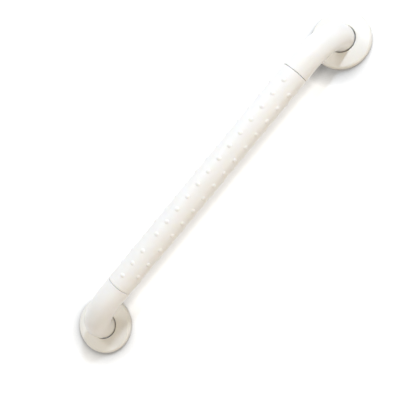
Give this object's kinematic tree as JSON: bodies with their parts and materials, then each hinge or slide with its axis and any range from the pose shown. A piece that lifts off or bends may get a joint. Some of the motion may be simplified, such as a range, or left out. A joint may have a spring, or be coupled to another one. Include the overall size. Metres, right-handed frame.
{
  "type": "grab bar",
  "caption": "Straight wall grab bar with a dotted nylon grip, rounded elbows and round domed covers over the wall plates",
  "frame": {"origin": "on the wall, midway between the axes of the two feet", "axes": "+X along the bar from the lower foot to the upper foot, +Y across the bar, +Z out of the wall"},
  "size_m": [0.578, 0.078, 0.0862],
  "materials": {
    "grip_nylon": "moulded nylon, satin",
    "elbow_nylon": "moulded nylon, semi-gloss",
    "cover_plastic": "moulded plastic, semi-gloss",
    "core_steel": "drawn stainless tube",
    "plate_steel": "rolled stainless sheet",
    "screw_steel": "stainless",
    "insert_brass": "turned"
  },
  "bodies": {
    "root": {"grip_sleeve": "grip_nylon", "core_tube": "core_steel", "upper_elbow": "elbow_nylon", "lower_elbow": "elbow_nylon", "upper_cover": "cover_plastic", "lower_cover": "cover_plastic", "upper_plate": "plate_steel", "lower_plate": "plate_steel", "upper_foot_screws": "screw_steel", "lower_foot_screws": "screw_steel", "upper_foot_inserts": "insert_brass", "lower_foot_inserts": "insert_brass", "upper_lock_screw": "screw_steel", "lower_lock_screw": "screw_steel"}
  },
  "joints": []
}
